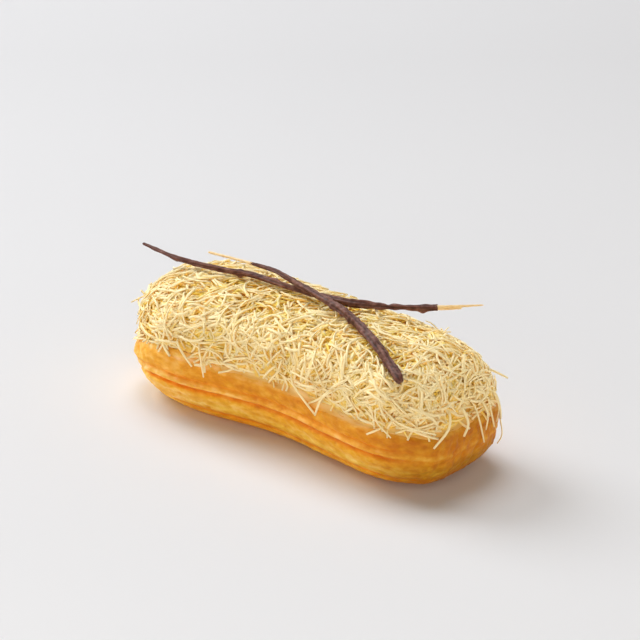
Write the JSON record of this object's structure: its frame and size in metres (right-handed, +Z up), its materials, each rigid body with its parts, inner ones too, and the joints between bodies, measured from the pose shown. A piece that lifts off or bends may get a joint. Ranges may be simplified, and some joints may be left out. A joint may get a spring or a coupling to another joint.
{
  "type": "eclair",
  "caption": "Ribbed choux eclair with a waist, a domed cream layer under fine pale shreds, and crossed chocolate twigs on top.",
  "frame": {"origin": "middle of the shell's flat underside, on the surface that the eclair rests on", "axes": "+X along the eclair towards the end where the long twig's bare strands are, +Z up, +Y across to the side away from the picture's camera"},
  "size_m": [0.1333, 0.0503, 0.0474],
  "materials": {
    "choux": "golden baked choux, satin",
    "cream": "smooth pale cream, soft gloss",
    "shreds": "fine pale yellow shreds, matt",
    "chocolate": "dark chocolate coat, satin",
    "strand": "dry golden strand, matt"
  },
  "bodies": {
    "root": {"choux_shell": "choux", "cream_layer": "cream", "shred_heap": "shreds", "long_twig": "chocolate", "arched_twig": "chocolate", "long_twig_strands": "strand", "arched_twig_strand": "strand"}
  },
  "joints": []
}
